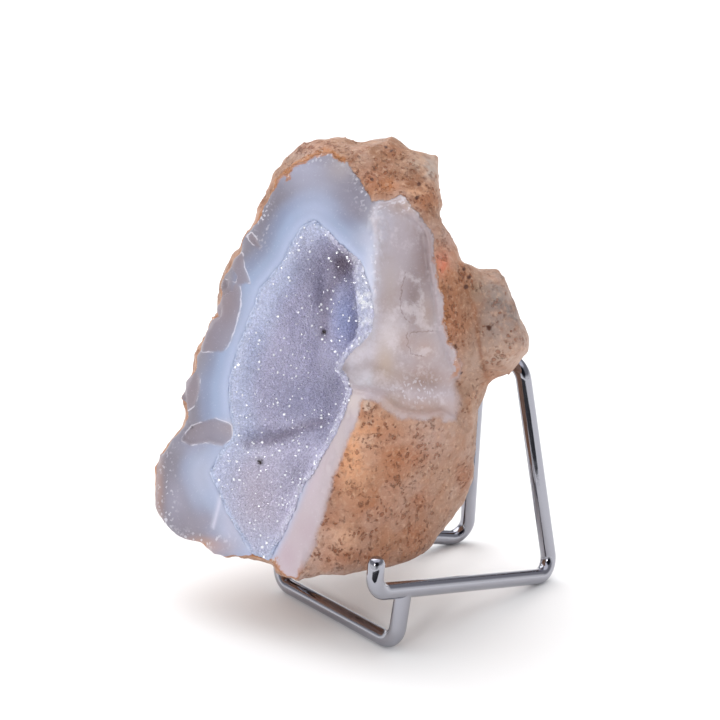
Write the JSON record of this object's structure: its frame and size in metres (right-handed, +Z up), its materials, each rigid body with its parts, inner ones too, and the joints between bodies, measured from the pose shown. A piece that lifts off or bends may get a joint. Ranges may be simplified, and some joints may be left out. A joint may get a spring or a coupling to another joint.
{
  "type": "chalcedony geode half with quartz on a wire stand",
  "caption": "Broken half of a chalcedony geode with a tan skin, its hollow lined with fine lavender quartz crystals, resting on a bent chromed wire stand.",
  "frame": {"origin": "middle of the bounding box's underside, on the surface that the stand rests on", "axes": "+Z up; the hooks and the broken face of the stone look towards -Y, and the top bar is at +Y"},
  "size_m": [0.0558, 0.0662, 0.0857],
  "materials": {
    "chalcedony": "opaque, waxy on the broken face and dull with pits on the tan skin",
    "quartz": "fine lavender crystals with bright flat faces",
    "chrome": "bright plated wire"
  },
  "bodies": {
    "root": {"stone": "chalcedony", "quartz_druse": "quartz", "stand_frame": "chrome", "stand_foot": "chrome"}
  },
  "joints": []
}
